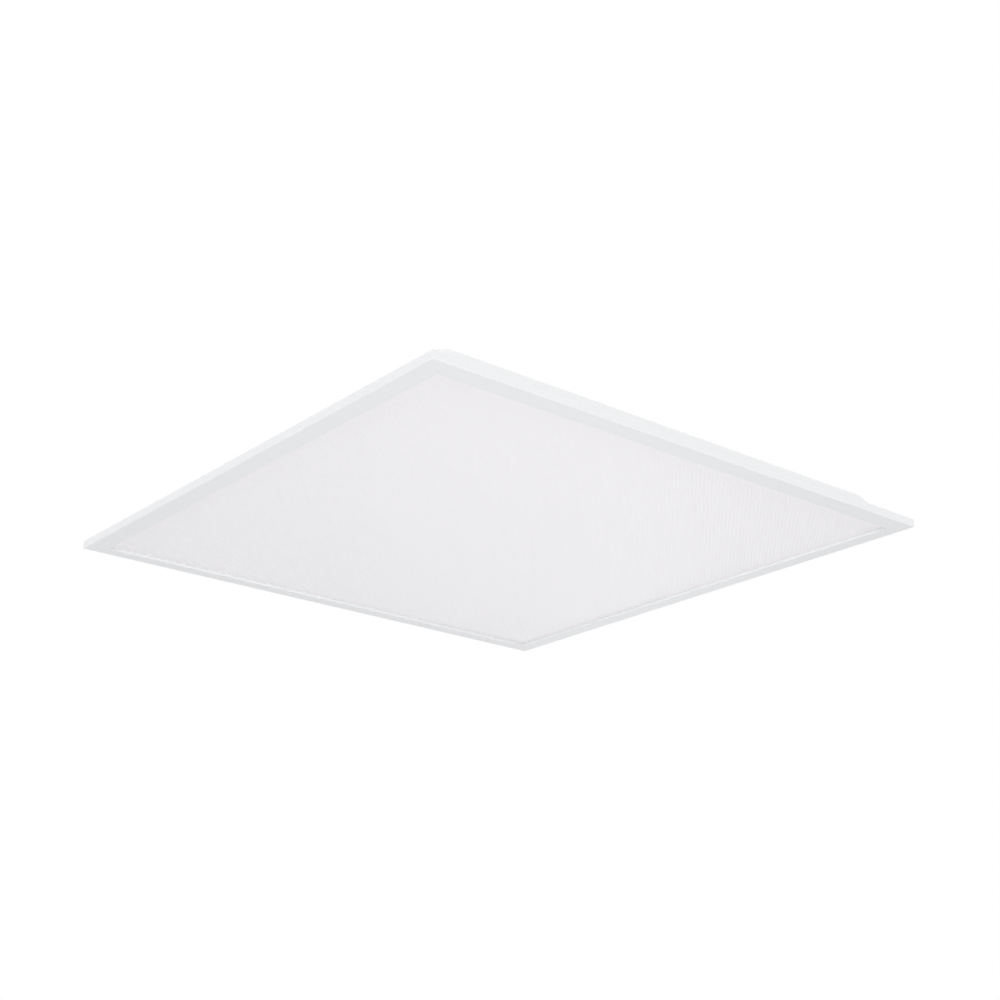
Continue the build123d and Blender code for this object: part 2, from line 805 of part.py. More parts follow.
def board_plugs():
    """The board's input plug at the front edge and its output plug at the right edge."""
    plug_z = (board_top, board_top + board_plug_height)
    in_half = pole_pitch / 2 + 2 * lead_pitch
    out_half = 3 * lead_pitch
    in_x = (terminal_x - in_half, terminal_x + in_half)
    line_in = block(in_x, (board_front, board_front + board_plug_length), plug_z)
    out_y = (feed_y - out_half, feed_y + out_half)
    line_out = block((board_right - board_plug_length, board_right), out_y, plug_z)
    return group([line_in, line_out])


def core_windows(width, depth, height, core_leg, grow):
    """Both windows of an E-core as one bar with the middle leg left standing."""
    tall = height / 2 - core_leg - grow
    outer = width / 2 - core_leg - grow
    full = block((-outer, outer), (-depth, depth), (height / 2 - tall, height / 2 + tall))
    leg = block((-core_leg - grow, core_leg + grow), (-depth / 2 - grow, depth / 2 + grow), (0, height))
    return full, leg


def coil_core(width, depth, height, core_leg):
    """A ferrite E-core standing on z = 0."""
    full, leg = core_windows(width, depth, height, core_leg, 0)
    return block((-width / 2, width / 2), (-depth / 2, depth / 2), (0, height)) - (full - leg)


def coil_winding(width, depth, height, core_leg):
    """The taped winding round the core's middle leg, with rounded corners."""
    full, leg = core_windows(width, depth, height, core_leg, coil_clearance)
    reach = depth / 2 + coil_overhang
    keep = block((-width / 2, width / 2), (-reach, reach), (0, height))
    winding = full & keep
    winding = fillet(winding.edges().filter_by(Axis.Z), coil_corner_radius)
    return winding - leg


def choke_place():
    """The choke stands behind the input plug."""
    return Pos(terminal_x, board_front + board_plug_length + part_gap + choke_reach, board_top)


def transformer_place():
    """The transformer stands level with the output plug, to its left."""
    plug_left = board_right - board_plug_length
    return Pos(plug_left - part_gap - transformer_width / 2, feed_y, board_top)


def bulk_capacitor():
    """The can of the bulk capacitor, behind the heat sink, with a rounded shoulder."""
    can = fillet(
        bar(0, 0, 0, bulk_capacitor_height, bulk_capacitor_radius).edges().sort_by(Axis.Z)[-1],
        capacitor_edge_radius,
    )
    y = heat_sink_front + heat_sink_length + part_gap + bulk_capacitor_radius
    return Pos(board_middle, y, board_top) * can


def film_capacitor():
    """The potted film capacitor across the mains, right of the choke."""
    plan = RectangleRounded(film_capacitor_width, film_capacitor_length, capacitor_edge_radius)
    x = terminal_x + choke_width / 2 + part_gap + film_capacitor_width / 2
    y = board_front + board_plug_length + part_gap + film_capacitor_length / 2
    return Pos(x, y, board_top) * extrude(plan, film_capacitor_height)


def heat_sink():
    """A finned extrusion behind the transformer."""
    pitch = (heat_sink_width - heat_sink_fin) / (heat_sink_fins - 1)
    sink = block((0, heat_sink_width), (0, heat_sink_length), (0, heat_sink_base))
    for i in range(heat_sink_fins):
        sink += block((i * pitch, i * pitch + heat_sink_fin), (0, heat_sink_length), (0, heat_sink_height))
    return Pos(board_middle - heat_sink_width / 2, heat_sink_front, board_top) * sink


def driver_screws():
    """Four screws through the base's ears into the pan."""
    length = ear_thickness + pan_sheet + strip_thickness - driver_screw_tip_gap
    screw = domed_screw(driver_screw_head_radius, driver_screw_head_height, driver_screw_radius, length)
    return group(Pos(x, y, pan_back + ear_thickness) * screw for x, y in driver_screw_centres())


def lid_screws():
    """Two screws that hold the lid to the base's bosses."""
    length = driver_lid_thickness + lid_screw_length
    screw = domed_screw(lid_screw_head_radius, lid_screw_head_height, lid_screw_radius, length)
    return group(Pos(driver_x, y, driver_top) * screw for y in (lid_boss_front, lid_boss_back))


def corner_group(make):
    """The same piece at all four corners of the square."""
    solids = make()
    return group(quarter_turns(one, turn) for turn in range(4) for one in solids)


def corner_screw_pair():
    """The two countersunk screws of one corner."""
    return [Pos(x, y, rim_top) * corner_screw(0) for x, y in corner_screw_places()]


def build():
    """All pieces by node name."""
    rail = front_rail()
    nodes = {
        "frame_rail_front": rail,
        "frame_rail_right": quarter_turns(rail, 1),
        "frame_rail_back": quarter_turns(rail, 2),
        "frame_rail_left": quarter_turns(rail, 3),
        "corner_keys": corner_group(lambda: [corner_key()]),
        "corner_screws": corner_group(corner_screw_pair),
        "prism_plate": slot_sheet(lip_height, plate_top),
        "opal_sheet": slot_sheet(plate_top, sheet_top),
        "back_pan": back_pan(),
        "pan_screws": pan_screws(),
        "suspension_nuts": suspension_nuts(),
        "reflector_sheet": reflector_sheet(),
        "strip_rivets": strip_rivets(),
        "strip_connectors": strip_connectors(),
        "jumper_leads": jumper_leads(),
        "feed_leads": feed_leads(),
        "feed_grommet": feed_grommet(),
        "driver_base": driver_base(),
        "driver_lid": driver_lid(),
        "terminal_cover": terminal_cover(),
        "terminal_block": terminal_block(),
        "release_button_line": release_button(0),
        "release_button_neutral": release_button(1),
        "mains_grommet": mains_grommet(),
        "input_leads": input_leads(),
        "driver_board": driver_board(),
        "board_plugs": board_plugs(),
        "transformer_core": transformer_place() * coil_core(*transformer_size),
        "transformer_winding": transformer_place() * coil_winding(*transformer_size),
        "choke_core": choke_place() * coil_core(*choke_size),
        "choke_winding": choke_place() * coil_winding(*choke_size),
        "bulk_capacitor": bulk_capacitor(),
        "film_capacitor": film_capacitor(),
        "heat_sink": heat_sink(),
        "driver_screws": driver_screws(),
        "lid_screws": lid_screws(),
    }
    for row in range(strip_count):
        nodes[f"led_strip_{row + 1}"] = led_strip(row)
        nodes[f"led_chips_{row + 1}"] = led_chips(row)
        nodes[f"led_lenses_{row + 1}"] = led_lenses(row)
    return nodes


os.makedirs("parts", exist_ok=True)
for node, shape in build().items():
    export_step(shape, f"parts/{node}.step")
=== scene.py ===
"""Dresses a square lay-in LED panel: paint, plate, fasteners, light engine, driver box and studio."""

import math

import bmesh
import bpy
from bpy.props import FloatProperty, FloatVectorProperty, IntProperty, PointerProperty
from mathutils import Matrix, Vector


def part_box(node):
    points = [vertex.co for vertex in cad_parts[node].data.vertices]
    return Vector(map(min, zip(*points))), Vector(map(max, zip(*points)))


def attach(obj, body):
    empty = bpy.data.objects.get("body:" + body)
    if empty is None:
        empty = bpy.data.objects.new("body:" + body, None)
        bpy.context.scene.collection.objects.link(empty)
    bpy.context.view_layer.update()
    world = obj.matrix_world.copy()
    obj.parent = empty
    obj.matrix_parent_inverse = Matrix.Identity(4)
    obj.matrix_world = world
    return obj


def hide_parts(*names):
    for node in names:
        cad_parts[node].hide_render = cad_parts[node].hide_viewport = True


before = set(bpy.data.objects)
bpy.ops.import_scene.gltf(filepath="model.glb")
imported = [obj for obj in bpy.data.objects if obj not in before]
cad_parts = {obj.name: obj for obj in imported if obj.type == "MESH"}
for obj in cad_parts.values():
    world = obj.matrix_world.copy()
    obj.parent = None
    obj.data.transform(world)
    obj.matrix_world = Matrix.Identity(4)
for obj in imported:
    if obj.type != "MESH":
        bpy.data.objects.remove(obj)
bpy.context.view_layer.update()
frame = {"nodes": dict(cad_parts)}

bl_info = {
    "name": "Lay-in LED panel",
    "version": (1, 0, 0),
    "blender": (4, 5, 0),
    "location": "View3D > Sidebar > LED panel",
    "description": "Finishes, fine pieces and studio for a square lay-in LED panel",
    "category": "Object",
}

MM = 0.001
HOUSING = "housing"
RAILS = ("frame_rail_front", "frame_rail_right", "frame_rail_back", "frame_rail_left")
STRIP_ROWS = range(1, 6)

# Values between which a noise drifts from one patch to the next.
PATCH_LOW, PATCH_HIGH = 0.3, 0.7

# Where a Mix node keeps its two colours and the mixed one.
MIX_FIRST, MIX_SECOND, MIX_RESULT = 6, 7, 2

# Head height and shank radius of each kind of domed screw.
DOMED_SCREWS = {
    "pan_screws": (1.8 * MM, 1.4 * MM),
    "driver_screws": (2.0 * MM, 1.5 * MM),
    "lid_screws": (1.5 * MM, 1.2 * MM),
}
CORNER_SHANK_RADIUS = 1.25 * MM

# Degrees from the line of sight and above level, then distance and size in metres.
SOFT_BOXES = (
    ("overhead", 180, 75, 3.0, (2.4, 2.4)),
    ("back", 5, 26, 3.0, (0.8, 0.8)),
    ("front", 180, -2.5, 3.0, (2.0, 0.5)),
    ("below", 180, -65, 1.6, (0.6, 0.6)),
    ("left_side", -110, 0, 3.0, (1.5, 0.5)),
    ("right_side", 110, 0, 3.0, (1.5, 0.5)),
    ("far_left_strip", -8, -20, 3.0, (0.35, 0.9)),
    ("far_right_strip", 7.5, -17, 3.0, (0.85, 0.9)),
)


def linear(hex_code):
    """Linear RGB of an sRGB hex colour."""
    values = [int(hex_code[i : i + 2], 16) / 255 for i in (1, 3, 5)]
    return tuple(v / 12.92 if v <= 0.04045 else ((v + 0.055) / 1.055) ** 2.4 for v in values)


def colour_property(name, description, hex_code):
    """A colour that a user can change, with its sRGB default."""
    return FloatVectorProperty(
        name=name, description=description, subtype="COLOR", min=0, max=1, default=linear(hex_code)
    )


def length_property(name, description, millimetres):
    """A length that a user can change, given in millimetres."""
    return FloatProperty(
        name=name, description=description, subtype="DISTANCE", unit="LENGTH", default=millimetres * MM
    )


def watts_property(name, description, watts):
    """A lamp's power that a user can change."""
    return FloatProperty(name=name, description=description, unit="POWER", min=0, default=watts)


class PanelColours(bpy.types.PropertyGroup):
    """Colours of the finishes."""

    frame: colour_property("Frame paint", "Powder coat on the four rails", "#F1F2F4")
    pan: colour_property("Pan paint", "Paint of the pressed back pan", "#F6F7F8")
    plate: colour_property("Prismatic plate", "The plate as it looks with the light off", "#FAF8FB")
    opal: colour_property("Opal sheet", "The sheet behind the prismatic plate", "#F4F4F6")
    film: colour_property("Reflector film", "Foamed film over the LED strips", "#F8F8F8")
    zinc: colour_property("Zinc plate", "Screws, nuts and corner keys", "#C6C9CC")
    mask: colour_property("Strip solder mask", "White mask on the LED strips", "#F0F1EF")
    phosphor: colour_property("Phosphor", "Face of an LED package", "#EFD06A")
    nylon: colour_property("Nylon", "Push rivets and small connectors", "#EDEBE4")
    lens: colour_property("Lens", "Clear lenses over the LEDs", "#FFFFFF")
    lead: colour_property("Lead insulation", "Low-voltage leads", "#B5342F")
    line_lead: colour_property("Line insulation", "Line conductor", "#6B4326")
    neutral_lead: colour_property("Neutral insulation", "Neutral conductor", "#2F63B5")
    rubber: colour_property("Rubber", "Grommets", "#2A2A2C")
    driver: colour_property("Driver plastic", "Driver box, lid and cover", "#EFEFED")
    terminal: colour_property("Terminal plastic", "Body of the terminal block", "#C3C6C9")
    button: colour_property("Button plastic", "Release buttons", "#E8742A")
    laminate: colour_property("Board laminate", "Driver board", "#2F6B45")
    ferrite: colour_property("Ferrite", "Cores of transformer and choke", "#3A3A3D")
    tape: colour_property("Winding tape", "Tape round the windings", "#E3C044")
    sleeve: colour_property("Capacitor sleeve", "Shrink sleeve of the bulk capacitor", "#22252E")
    film_case: colour_property("Film capacitor case", "Potted box", "#D8B63C")
    aluminium: colour_property("Bare aluminium", "Heat sink", "#D3D5D8")


class PrismSizes(bpy.types.PropertyGroup):
    """The pattern of the prismatic plate."""

    # Real pyramids stand little more than a millimetre apart. They are drawn coarser, to show.
    pitch: length_property("Pitch", "Spacing of the pyramids, set at 45 degrees to the sides", 3.7)
    depth: length_property("Depth", "How deep each pyramid is sunk into the plate", 0.24)
    margin: length_property("Margin", "Plain strip between the pyramids and the rails", 4)


class FastenerSizes(bpy.types.PropertyGroup):
    """Shapes of screws and nuts that only show close up."""

    segments: IntProperty(
        name="Segments", description="Facets round a screw or nut", default=36, min=12
    )
    thread_pitch: length_property("Thread pitch", "Pitch of screws and nuts", 0.7)
    thread_depth: length_property("Thread depth", "Depth of the thread's groove", 0.3)
    arm_width: length_property("Recess arm", "Width of the cross recess's arms", 0.75)
    recess_depth: length_property("Recess depth", "Depth of the cross recess", 1.1)
    nut_flange: length_property("Nut flange", "Thickness of a rivet nut's flange", 0.9)
    nut_grip: length_property("Nut grip", "Sheet that a rivet nut holds", 0.6)
    nut_bore: length_property("Nut bore", "Radius of the thread's root in a rivet nut", 2.0)
    nut_body: length_property("Nut body", "Radius of a rivet nut's body", 3.0)
    nut_bulge: length_property("Nut bulge", "Radius of the bulge that holds the sheet", 4.0)


class StudioSettings(bpy.types.PropertyGroup):
    """Camera, floor and light."""

    eye: FloatVectorProperty(
        name="Eye", description="Camera's place", subtype="TRANSLATION",
        default=(-1.0191, -1.2672, -0.574),
    )
    aim: FloatVectorProperty(
        name="Aim", description="Where the camera's axis meets the plate", subtype="TRANSLATION",
        default=(-0.0621, -0.0931, 0.0),
    )
    roll: FloatProperty(
        name="Roll", description="Camera's turn about its axis", subtype="ANGLE",
        default=math.radians(0.468),
    )
    lens: FloatProperty(name="Lens", description="Focal length in millimetres", default=61.633)
    floor_drop: length_property("Floor", "Depth of the floor below the panel", 2400)
    floor_half: length_property("Floor size", "Half the side of the floor", 9000)
    floor_white: colour_property("Floor", "Matt white floor", "#F2F2F2")
    floor_veil: FloatProperty(
        name="Floor veil", description="How far the eye sees the floor as plain white",
        subtype="FACTOR", min=0, max=1, default=0.6,
    )
    sky: FloatProperty(
        name="Sky", description="Light that reaches the object from all round", default=0.32
    )
    overhead: watts_property("Overhead", "Soft box above the panel's back", 33)
    back: watts_property("Back", "Raking soft box above the panel, behind it", 13)
    front: watts_property("Front", "Wide soft box behind the camera, level with the panel", 26)
    below: watts_property("Below", "Small soft box below the near corner", 5.5)
    left_side: watts_property("Left side", "Flat soft box level with the panel", 20.5)
    right_side: watts_property("Right side", "Flat soft box level with the panel", 17.5)
    far_left_strip: watts_property("Far left strip", "Upright strip that the plate mirrors", 0.35)
    far_right_strip: watts_property("Far right strip", "Wider strip that the plate mirrors", 1.8)


COLOURS = "led_panel_colours"
PRISMS = "led_panel_prisms"
FASTENERS = "led_panel_fasteners"
STUDIO = "led_panel_studio"


def add_node(tree, kind, settings=None, inputs=None):
    """Adds a node with its settings; an input is a value or another node's output."""
    node = tree.nodes.new(kind)
    for name, value in (settings or {}).items():
        setattr(node, name, value)
    for name, value in (inputs or {}).items():
        if isinstance(value, bpy.types.NodeSocket):
            tree.links.new(value, node.inputs[name])
        else:
            node.inputs[name].default_value = value
    return node


def finish(name, colour, roughness, **sockets):
    """A material with one shader, and that shader."""
    material = bpy.data.materials.new(name)
    material.use_nodes = True
    material.diffuse_color = (*colour, 1)
    shader = material.node_tree.nodes["Principled BSDF"]
    shader.inputs["Base Color"].default_value = (*colour, 1)
    shader.inputs["Roughness"].default_value = roughness
    for socket, value in sockets.items():
        shader.inputs[socket.replace("_", " ")].default_value = value
    return material, shader


def weather(material, shader, grain, drift, gloss=0.0, relief=0.0):
    """Lets tone and gloss drift over patches of the grain's size and raises a relief of that size."""
    tree = material.node_tree
    place = add_node(tree, "ShaderNodeTexCoord")
    noise = add_node(
        tree, "ShaderNodeTexNoise", None,
        {"Vector": place.outputs["Object"], "Scale": 1 / grain, "Detail": 3.0, "Roughness": 0.55},
    )
    patches = {"Value": noise.outputs["Fac"], "From Min": PATCH_LOW, "From Max": PATCH_HIGH}
    base = shader.inputs["Base Color"]
    colour = base.links[0].from_socket if base.is_linked else base.default_value[:]
    dark = 1 - drift
    shade = add_node(tree, "ShaderNodeMapRange", None, {**patches, "To Min": 1.0, "To Max": 0.0})
    tone = add_node(
        tree, "ShaderNodeMix", {"data_type": "RGBA", "blend_type": "MULTIPLY"},
        {"Factor": shade.outputs["Result"], MIX_FIRST: colour, MIX_SECOND: (dark, dark, dark, 1)},
    )
    tree.links.new(tone.outputs[MIX_RESULT], base)
    if gloss:
        rough = shader.inputs["Roughness"].default_value
        spread = add_node(
            tree, "ShaderNodeMapRange", None,
            {**patches, "To Min": rough - gloss, "To Max": rough + gloss},
        )
        tree.links.new(spread.outputs["Result"], shader.inputs["Roughness"])
    if relief:
        bump = add_node(
            tree, "ShaderNodeBump", None,
            {"Height": noise.outputs["Fac"], "Strength": 1.0, "Distance": relief},
        )
        tree.links.new(bump.outputs["Normal"], shader.inputs["Normal"])
    return material


def powder_coat(colour):
    """Polyester powder on aluminium: satin white with an orange peel about 1.5 mm across."""
    material, shader = finish("powder_coated_aluminium", colour, 0.42, IOR=1.5)
    return weather(material, shader, 1.5 * MM, 0.01, gloss=0.04, relief=0.004 * MM)


def coil_paint(colour):
    """Steel sheet painted before it was pressed: smoother and a little glossier than powder."""
    material, shader = finish("painted_sheet_steel", colour, 0.36, IOR=1.5)
    return weather(material, shader, 60 * MM, 0.015, gloss=0.05)


def prismatic_acrylic(colour):
    """Moulded acrylic with an opal sheet close behind: soft white body, glossy facets."""
    # Roughness stays above 0.275: where it drifts across, a denoised render shows dark specks.
    material, shader = finish("prismatic_acrylic", colour, 0.31, IOR=1.49)
    return weather(material, shader, 40 * MM, 0.006, gloss=0.03)


def opal_polystyrene(colour):
    """Extruded opal sheet: even white, nearly matt."""
    material, shader = finish("opal_polystyrene", colour, 0.55, IOR=1.55)
    return weather(material, shader, 80 * MM, 0.008)


def foamed_film(colour):
    """Foamed polyester reflector: paper-like and matt, with a pore grain."""
    material, shader = finish("foamed_polyester", colour, 0.85, IOR=1.45)
    return weather(material, shader, 0.4 * MM, 0.02, relief=0.01 * MM)


def zinc_plate(colour):
    """Bright zinc on steel: metallic with cloudy gloss, as barrel plating leaves it."""
    material, shader = finish("bright_zinc_plate", colour, 0.36, Metallic=1.0)
    return weather(material, shader, 1.2 * MM, 0.12, gloss=0.08, relief=0.003 * MM)


def white_solder_mask(colour):
    """White mask over an aluminium core: even and slightly glossy."""
    material, shader = finish("white_solder_mask", colour, 0.4, IOR=1.5)
    return weather(material, shader, 3 * MM, 0.02, gloss=0.04)


def phosphor_silicone(colour):
    """Phosphor in silicone: yellow, grainy and soft."""
    material, shader = finish("phosphor_silicone", colour, 0.5, IOR=1.41)
    return weather(material, shader, 0.2 * MM, 0.08)


def clear_acrylic(colour):
    """Moulded lens acrylic: clear and glossy."""
    material, shader = finish("clear_lens_acrylic", colour, 0.04, IOR=1.49, Transmission_Weight=1.0)
    return weather(material, shader, 2 * MM, 0.01)


def natural_nylon(colour):
    """Moulded natural nylon: waxy, off-white."""
    material, shader = finish("natural_nylon", colour, 0.45, IOR=1.53)
    return weather(material, shader, 1.5 * MM, 0.03, gloss=0.05)


def pvc_insulation(colour):
    """Extruded PVC over stranded wire: smooth with a soft shine."""
    material, shader = finish("lead_pvc", colour, 0.4, IOR=1.53)
    return weather(material, shader, 4 * MM, 0.04, gloss=0.05)


def mains_insulation(line_colour, neutral_colour, split):
    """Extruded PVC with a soft shine, brown before the split for line and blue past it for neutral."""
    material, shader = finish("mains_pvc", line_colour, 0.4, IOR=1.53)
    tree = material.node_tree
    place = add_node(tree, "ShaderNodeTexCoord")
    axes = add_node(tree, "ShaderNodeSeparateXYZ", None, {"Vector": place.outputs["Object"]})
    side = add_node(
        tree, "ShaderNodeMath", {"operation": "GREATER_THAN"}, {0: axes.outputs["X"], 1: split}
    )
    core = add_node(
        tree, "ShaderNodeMix", {"data_type": "RGBA"},
        {
            "Factor": side.outputs["Value"],
            MIX_FIRST: (*line_colour, 1),
            MIX_SECOND: (*neutral_colour, 1),
        },
    )
    tree.links.new(core.outputs[MIX_RESULT], shader.inputs["Base Color"])
    return weather(material, shader, 4 * MM, 0.04, gloss=0.05)


def moulded_rubber(colour):
    """Grommet rubber: dark, matt, with a dusty bloom."""
    material, shader = finish("moulded_rubber", colour, 0.72, IOR=1.52)
    return weather(material, shader, 2 * MM, 0.2, gloss=0.06, relief=0.01 * MM)


def spark_grained_plastic(colour):
    """Polycarbonate from a spark-eroded mould: satin, with a grain drawn as 0.5 mm so that it shows."""
    material, shader = finish("moulded_polycarbonate", colour, 0.5, IOR=1.58)
    return weather(material, shader, 0.5 * MM, 0.02, gloss=0.05, relief=0.012 * MM)


def polyamide(name, colour):
    """Glass-filled polyamide: dry satin with a faint flow mottle."""
    material, shader = finish(name, colour, 0.48, IOR=1.53)
    return weather(material, shader, 1.0 * MM, 0.05, gloss=0.05, relief=0.006 * MM)


def glass_laminate(colour):
    """Epoxy glass board under green mask: glossy, with the weave's mottle drawn as 0.8 mm to show."""
    material, shader = finish("green_glass_laminate", colour, 0.35, IOR=1.55)
    return weather(material, shader, 0.8 * MM, 0.15)


def sintered_ferrite(colour):
    """Pressed and sintered ferrite: dark, dull and granular."""
    material, shader = finish("sintered_ferrite", colour, 0.6, IOR=2.0)
    return weather(material, shader, 0.5 * MM, 0.25, relief=0.01 * MM)


def polyester_tape(colour):
    """Yellow tape wound in laps: glossy, with patches of 2.5 mm where a lap lies looser."""
    material, shader = finish("polyester_tape", colour, 0.35, IOR=1.57)
    return weather(material, shader, 2.5 * MM, 0.08, gloss=0.06)


def shrink_sleeve(colour):
    """Dark shrink sleeve on an aluminium can: smooth and glossy."""
    material, shader = finish("shrink_sleeve", colour, 0.33, IOR=1.53)
    return weather(material, shader, 3 * MM, 0.1, gloss=0.04)


def potted_case(colour):
    """Epoxy-potted capacitor box: glossy yellow."""
    material, shader = finish("potted_case", colour, 0.34, IOR=1.55)
    return weather(material, shader, 2 * MM, 0.06, gloss=0.05)


def bare_aluminium(colour):
    """Extruded aluminium without a coat: a soft metal sheen, cloudy over patches of 1 mm."""
    material, shader = finish("bare_aluminium", colour, 0.38, Metallic=1.0)
    return weather(material, shader, 1.0 * MM, 0.08, gloss=0.08)


def paint(material, *nodes):
    """Gives CAD nodes a finish."""
    for node in nodes:
        slots = frame["nodes"][node].data.materials
        slots.clear()
        slots.append(material)


def place_piece(name, mesh, material, slot, *nodes):
    """Puts a new mesh in the scene in place of CAD nodes, on the body that they belong to."""
    mesh.materials.clear()
    mesh.materials.append(material)
    piece = bpy.data.objects.new(name, mesh)
    bpy.context.scene.collection.objects.link(piece)
    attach(piece, HOUSING)
    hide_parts(*nodes)
    return piece


def islands(node):
    """The lowest and highest corner of each separate solid of a CAD node."""
    bm = bmesh.new()
    bm.from_mesh(frame["nodes"][node].data)
    bmesh.ops.remove_doubles(bm, verts=bm.verts, dist=0.001 * MM)
    boxes, left = [], set(bm.verts)
    while left:
        reached, front = set(), [left.pop()]
        while front:
            vert = front.pop()
            reached.add(vert)
            near = {edge.other_vert(vert) for edge in vert.link_edges} & left
            left -= near
            front.extend(near)
        points = [vert.co.copy() for vert in reached]
        low = Vector([min(p[i] for p in points) for i in range(3)])
        high = Vector([max(p[i] for p in points) for i in range(3)])
        boxes.append((low, high))
    bm.free()
    return sorted(boxes, key=lambda box: (round(box[0].x, 4), round(box[0].y, 4)))


def prism_mesh(low, high, field_half, pitch, depth):
    """A plate with sunk pyramids on a grid at 45 degrees in its underside, inside a plain margin."""
    cells = 2 * round(2 * field_half / (pitch * math.sqrt(2)))
    step = 2 * field_half / cells
    line = [low.x] + [i * step - field_half for i in range(cells + 1)] + [high.x]
    last = len(line) - 1
    bm = bmesh.new()
    grid = []
    for b, y in enumerate(line):
        row = []
        for a, x in enumerate(line):
            inner = 1 < a < last - 1 and 1 < b < last - 1
            sunk = inner and (a + b) % 2 == 0
            row.append(bm.verts.new((x, y, low.z + depth if sunk else low.z)))
        grid.append(row)
    for b in range(last):
        for a in range(last):
            one, two = grid[b][a], grid[b][a + 1]
            three, four = grid[b + 1][a + 1], grid[b + 1][a]
            if (a + b) % 2 == 0:
                bm.faces.new((one, four, two))
                bm.faces.new((two, four, three))
            else:
                bm.faces.new((one, three, two))
                bm.faces.new((one, four, three))
    corners = [bm.verts.new((x, y, high.z)) for x, y in (
        (low.x, low.y), (high.x, low.y), (high.x, high.y), (low.x, high.y))]
    bm.faces.new(corners)
    edges = [grid[0], [row[-1] for row in grid], grid[-1][::-1], [row[0] for row in grid][::-1]]
    for i, edge in enumerate(edges):
        bm.faces.new([*edge, corners[(i + 1) % 4], corners[i]])
    mesh = bpy.data.meshes.new("prismatic_plate")
    bm.to_mesh(mesh)
    bm.free()
    return mesh


def thread_wave(turn):
    """A V-thread's height, from 0 at the root to 1 at the crest, over one turn."""
    return 1 - abs(2 * (turn % 1) - 1)


def lathe(bm, profile, sizes, closed):
    """Turns (radius, height, threaded) points about Z; a threaded point follows a helix."""
    rings = []
    for radius, height, threaded in profile:
        if radius == 0:
            rings.append([bm.verts.new((0, 0, height))])
            continue
        ring = []
        for i in range(sizes.segments):
            share = i / sizes.segments
            wave = thread_wave(height / sizes.thread_pitch - share) if threaded else 0
            r = radius - sizes.thread_depth * wave
            angle = 2 * math.pi * share
            ring.append(bm.verts.new((r * math.cos(angle), r * math.sin(angle), height)))
        rings.append(ring)
    pairs = list(zip(rings, rings[1:]))
    if closed:
        pairs.append((rings[-1], rings[0]))
    for upper, lower in pairs:
        for i in range(sizes.segments):
            j = (i + 1) % sizes.segments
            over = [upper[i % len(upper)], upper[j % len(upper)]]
            under = [lower[j % len(lower)], lower[i % len(lower)]]
            bm.faces.new(list(dict.fromkeys(over + under)))


def threaded_run(radius, start, end, sizes):
    """Profile points along a threaded stretch, up or down."""
    points_to_a_pitch = 6
    count = max(2, math.ceil(points_to_a_pitch * abs(end - start) / sizes.thread_pitch))
    return [(radius, start + (end - start) * i / count, True) for i in range(count + 1)]


def cross_cutter(reach, sizes, top):
    """A tapered four-armed plug that cuts a cross recess."""
    half_arm = sizes.arm_width / 2
    plan = []
    for turn in range(4):
        arm = [(half_arm, half_arm), (reach, half_arm), (reach, -half_arm)]
        spin = Matrix.Rotation(-turn * math.pi / 2, 2)
        plan.extend(spin @ Vector(point) for point in arm)
    over = 0.5 * MM
    taper = 0.3
    bm = bmesh.new()
    upper = [bm.verts.new((p.x, p.y, top + over)) for p in plan]
    middle = [bm.verts.new((p.x, p.y, top)) for p in plan]
    lower = [bm.verts.new((p.x * taper, p.y * taper, top - sizes.recess_depth)) for p in plan]
    bm.faces.new(upper)
    bm.faces.new(lower[::-1])
    for above, below in ((upper, middle), (middle, lower)):
        for i in range(len(plan)):
            j = (i + 1) % len(plan)
            bm.faces.new((above[i], below[i], below[j], above[j]))
    bmesh.ops.recalc_face_normals(bm, faces=bm.faces)
    mesh = bpy.data.meshes.new("cross_cutter")
    bm.to_mesh(mesh)
    bm.free()
    return mesh


def screw_mesh(head, shank_radius, length, sizes):
    """A screw with its seat at z = 0: a head, a threaded shank and a cross recess."""
    neck, point = 0.2 * MM, 0.3 * MM
    tip_share, recess_share = 0.7, 0.62
    tip = [(shank_radius * tip_share, -length, False), (0, -length, False)]
    shank = threaded_run(shank_radius, -neck, point - length, sizes)
    bm = bmesh.new()
    lathe(bm, [*head, (shank_radius, 0, False), *shank, *tip], sizes, closed=False)
    bmesh.ops.recalc_face_normals(bm, faces=bm.faces)
    mesh = bpy.data.meshes.new("screw")
    bm.to_mesh(mesh)
    bm.free()
    head_radius = max(radius for radius, _, _ in head)
    body = bpy.data.objects.new("screw", mesh)
    plug = cross_cutter(recess_share * head_radius, sizes, head[0][1])
    cutter = bpy.data.objects.new("cutter", plug)
    for part in (body, cutter):
        bpy.context.scene.collection.objects.link(part)
    cut = body.modifiers.new("recess", "BOOLEAN")
    cut.object, cut.operation, cut.solver = cutter, "DIFFERENCE", "EXACT"
    graph = bpy.context.evaluated_depsgraph_get()
    made = bpy.data.meshes.new_from_object(body.evaluated_get(graph))
    for part in (body, cutter):
        bpy.data.objects.remove(part)
    return made


def domed_head(radius, height):
    """Profile of a pan head: a low arc over a short straight side."""
    side_share, arc_step = 0.4, 15
    side = side_share * height
    rise = height - side
    arc = [math.radians(a) for a in range(0, 90 + arc_step, arc_step)]
    crown = [(radius * math.sin(a), side + rise * math.cos(a), False) for a in arc]
    return [*crown, (radius, 0, False)]


def countersunk_head(radius, depth):
    """Profile of a flat head that narrows to its shank."""
    rim = 0.15 * MM
    return [(0, depth, False), (radius, depth, False), (radius, depth - rim, False)]


